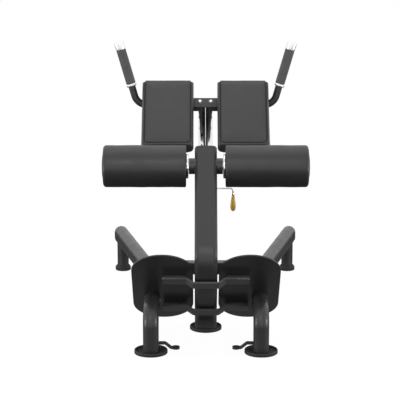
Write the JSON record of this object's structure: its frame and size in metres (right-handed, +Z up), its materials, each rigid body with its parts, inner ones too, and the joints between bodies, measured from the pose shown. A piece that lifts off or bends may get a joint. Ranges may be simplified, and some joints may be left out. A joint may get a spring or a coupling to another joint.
{
  "type": "hyperextension bench",
  "caption": "Angled back-extension bench: foot plates, foam calf rollers on a bent column, sliding thigh pads and side handles.",
  "frame": {"origin": "on the floor, under the centre of the middle foot, on the plane of symmetry", "axes": "+X to the user's right, +Y from the middle foot towards the pads and rear feet, +Z up"},
  "size_m": [0.7884, 1.2766, 1.0416],
  "materials": {
    "anchor_tab_left_finish": "black powder coat",
    "anchor_tab_right_finish": "black powder coat",
    "axle_finish": "polished",
    "axle_boss_left_finish": "black powder coat",
    "axle_boss_right_finish": "black powder coat",
    "bar_bolt_left_finish": "polished",
    "bar_bolt_right_finish": "polished",
    "bar_end_left_finish": "black powder coat",
    "bar_end_right_finish": "black powder coat",
    "beam_finish": "black powder coat",
    "beam_bushing_finish": "matte",
    "beam_collar_finish": "matte",
    "column_finish": "black powder coat",
    "column_cap_finish": "matte",
    "cross_tube_finish": "black powder coat",
    "foot_middle_finish": "matte",
    "foot_near_left_finish": "matte",
    "foot_near_right_finish": "matte",
    "foot_plate_left_finish": "black powder coat",
    "foot_plate_right_finish": "black powder coat",
    "grip_left_finish": "matte",
    "grip_right_finish": "matte",
    "grip_ring_left_finish": "satin",
    "grip_ring_right_finish": "satin",
    "grip_tip_left_finish": "satin",
    "grip_tip_right_finish": "satin",
    "handle_left_finish": "black powder coat",
    "handle_right_finish": "black powder coat",
    "pad_bar_finish": "black powder coat",
    "pad_board_left_finish": "black backing board",
    "pad_board_right_finish": "black backing board",
    "pad_bolt_inner_left_finish": "polished",
    "pad_bolt_inner_right_finish": "polished",
    "pad_bolt_outer_left_finish": "polished",
    "pad_bolt_outer_right_finish": "polished",
    "pin_housing_finish": "black powder coat",
    "post_finish": "polished",
    "pull_grip_finish": "satin orange",
    "pull_pin_finish": "polished",
    "pull_rod_finish": "polished",
    "rail_cap_left_finish": "matte",
    "rail_cap_right_finish": "matte",
    "rear_foot_left_finish": "matte",
    "rear_foot_right_finish": "matte",
    "rear_leg_left_finish": "black powder coat",
    "rear_leg_right_finish": "black powder coat",
    "roller_core_left_finish": "matte",
    "roller_core_right_finish": "matte",
    "roller_flange_left_finish": "polished",
    "roller_flange_right_finish": "polished",
    "roller_foam_left_finish": "grained black vinyl",
    "roller_foam_right_finish": "grained black vinyl",
    "side_tube_left_finish": "black powder coat",
    "side_tube_right_finish": "black powder coat",
    "strap_lower_finish": "black powder coat",
    "strap_upper_finish": "black powder coat",
    "strut_finish": "black powder coat",
    "thigh_pad_left_finish": "grained black vinyl",
    "thigh_pad_right_finish": "grained black vinyl"
  },
  "bodies": {
    "frame": {"anchor_tab_left": "anchor_tab_left_finish", "anchor_tab_right": "anchor_tab_right_finish", "axle": "axle_finish", "axle_boss_left": "axle_boss_left_finish", "axle_boss_right": "axle_boss_right_finish", "beam": "beam_finish", "beam_bushing": "beam_bushing_finish", "beam_collar": "beam_collar_finish", "column": "column_finish", "column_cap": "column_cap_finish", "cross_tube": "cross_tube_finish", "foot_middle": "foot_middle_finish", "foot_near_left": "foot_near_left_finish", "foot_near_right": "foot_near_right_finish", "foot_plate_left": "foot_plate_left_finish", "foot_plate_right": "foot_plate_right_finish", "pin_housing": "pin_housing_finish", "rail_cap_left": "rail_cap_left_finish", "rail_cap_right": "rail_cap_right_finish", "rear_foot_left": "rear_foot_left_finish", "rear_foot_right": "rear_foot_right_finish", "rear_leg_left": "rear_leg_left_finish", "rear_leg_right": "rear_leg_right_finish", "side_tube_left": "side_tube_left_finish", "side_tube_right": "side_tube_right_finish", "strap_lower": "strap_lower_finish", "strap_upper": "strap_upper_finish", "strut": "strut_finish"},
    "carriage": {"bar_bolt_left": "bar_bolt_left_finish", "bar_bolt_right": "bar_bolt_right_finish", "bar_end_left": "bar_end_left_finish", "bar_end_right": "bar_end_right_finish", "grip_left": "grip_left_finish", "grip_right": "grip_right_finish", "grip_ring_left": "grip_ring_left_finish", "grip_ring_right": "grip_ring_right_finish", "grip_tip_left": "grip_tip_left_finish", "grip_tip_right": "grip_tip_right_finish", "handle_left": "handle_left_finish", "handle_right": "handle_right_finish", "pad_bar": "pad_bar_finish", "pad_board_left": "pad_board_left_finish", "pad_board_right": "pad_board_right_finish", "pad_bolt_inner_left": "pad_bolt_inner_left_finish", "pad_bolt_inner_right": "pad_bolt_inner_right_finish", "pad_bolt_outer_left": "pad_bolt_outer_left_finish", "pad_bolt_outer_right": "pad_bolt_outer_right_finish", "post": "post_finish", "thigh_pad_left": "thigh_pad_left_finish", "thigh_pad_right": "thigh_pad_right_finish"},
    "roller_left": {"roller_core_left": "roller_core_left_finish", "roller_flange_left": "roller_flange_left_finish", "roller_foam_left": "roller_foam_left_finish"},
    "roller_right": {"roller_core_right": "roller_core_right_finish", "roller_flange_right": "roller_flange_right_finish", "roller_foam_right": "roller_foam_right_finish"},
    "pull_pin": {"pull_grip": "pull_grip_finish", "pull_pin": "pull_pin_finish", "pull_rod": "pull_rod_finish"}
  },
  "joints": [
    {"name": "pad_slide", "type": "slide", "parent": "frame", "child": "carriage", "axis": [0, 0.7071, 0.7071], "range_m": [-0.1629, 0.1086]},
    {"name": "roller_left_spin", "type": "hinge", "parent": "frame", "child": "roller_left", "pos_m": [-0.2297, 0.0168, 0.6311], "axis": [1, 0, 0], "continuous": true},
    {"name": "roller_right_spin", "type": "hinge", "parent": "frame", "child": "roller_right", "pos_m": [0.2297, 0.0168, 0.6311], "axis": [1, 0, 0], "continuous": true},
    {"name": "pin_pull", "type": "slide", "parent": "frame", "child": "pull_pin", "axis": [0.7071, 0.5, -0.5], "range_m": [-0.0085, 0]}
  ]
}
